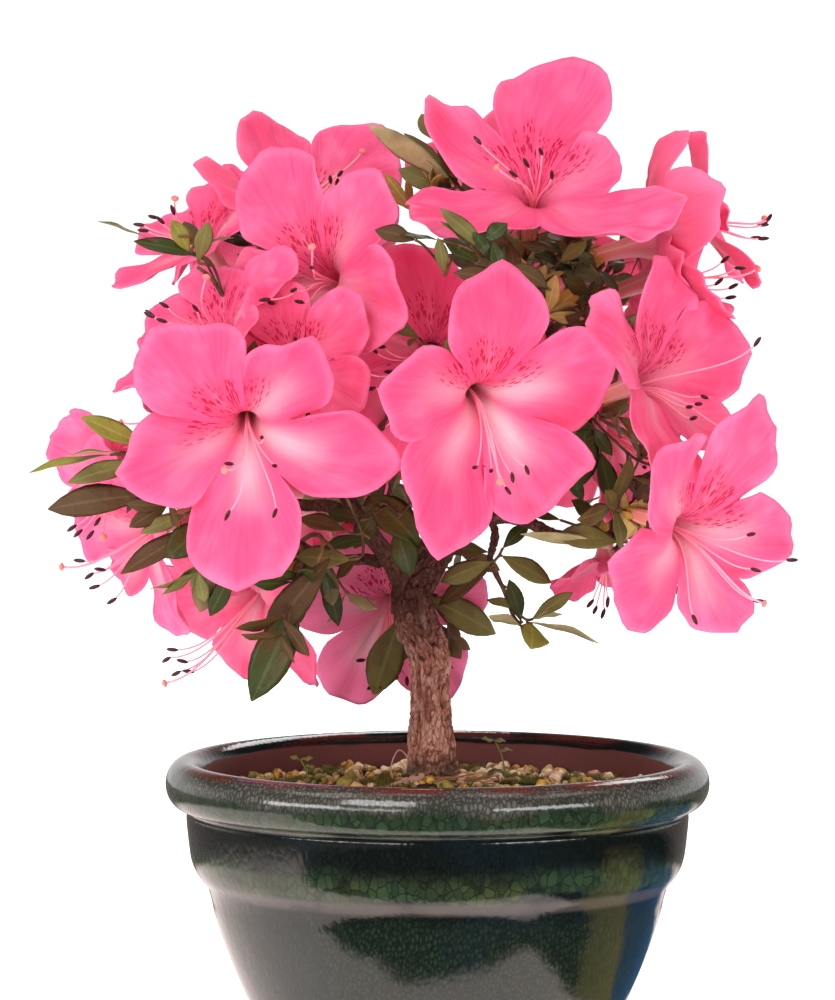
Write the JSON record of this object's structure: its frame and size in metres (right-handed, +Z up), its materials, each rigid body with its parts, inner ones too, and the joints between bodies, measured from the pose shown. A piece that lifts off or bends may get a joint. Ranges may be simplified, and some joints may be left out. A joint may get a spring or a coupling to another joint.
{
  "type": "azalea bonsai",
  "caption": "Small azalea tree in full pink bloom with a bent, flared trunk, planted in gravelly soil in a round dark-glazed pot with a rolled rim.",
  "frame": {"origin": "centre of the pot's flat underside", "axes": "+Z up; the picture looks along +Y, so the side in the picture faces -Y, and +X is to its right"},
  "size_m": [0.2112, 0.2166, 0.2847],
  "materials": {
    "pot": "gloss glaze",
    "soil": "loose gravel and moss",
    "bark": "rough bark",
    "blossom": "soft petals",
    "leaves": "semi-matt leaves"
  },
  "bodies": {
    "root": {"pot": "pot", "soil": "soil", "trunk": "bark", "bough_front_left": "bark", "bough_low_left": "bark", "bough_hanging_left": "bark", "bough_low_back": "bark", "bough_low_right": "bark", "bough_spray": "bark", "bough_right": "bark", "bough_centre": "bark", "bough_upper_left": "bark", "bough_upper_right": "bark", "bough_back_left": "bark", "bough_back": "bark", "bough_back_right": "bark", "blossom_top": "blossom", "blossom_upper_left": "blossom", "blossom_front_left": "blossom", "blossom_centre": "blossom", "blossom_upper_right": "blossom", "blossom_right": "blossom", "blossom_low_right": "blossom", "leaves_spray": "leaves", "blossom_low_left": "blossom", "blossom_hanging_left": "blossom", "blossom_low_back": "blossom", "blossom_back_left": "blossom", "blossom_back": "blossom", "blossom_back_right": "blossom"}
  },
  "joints": []
}
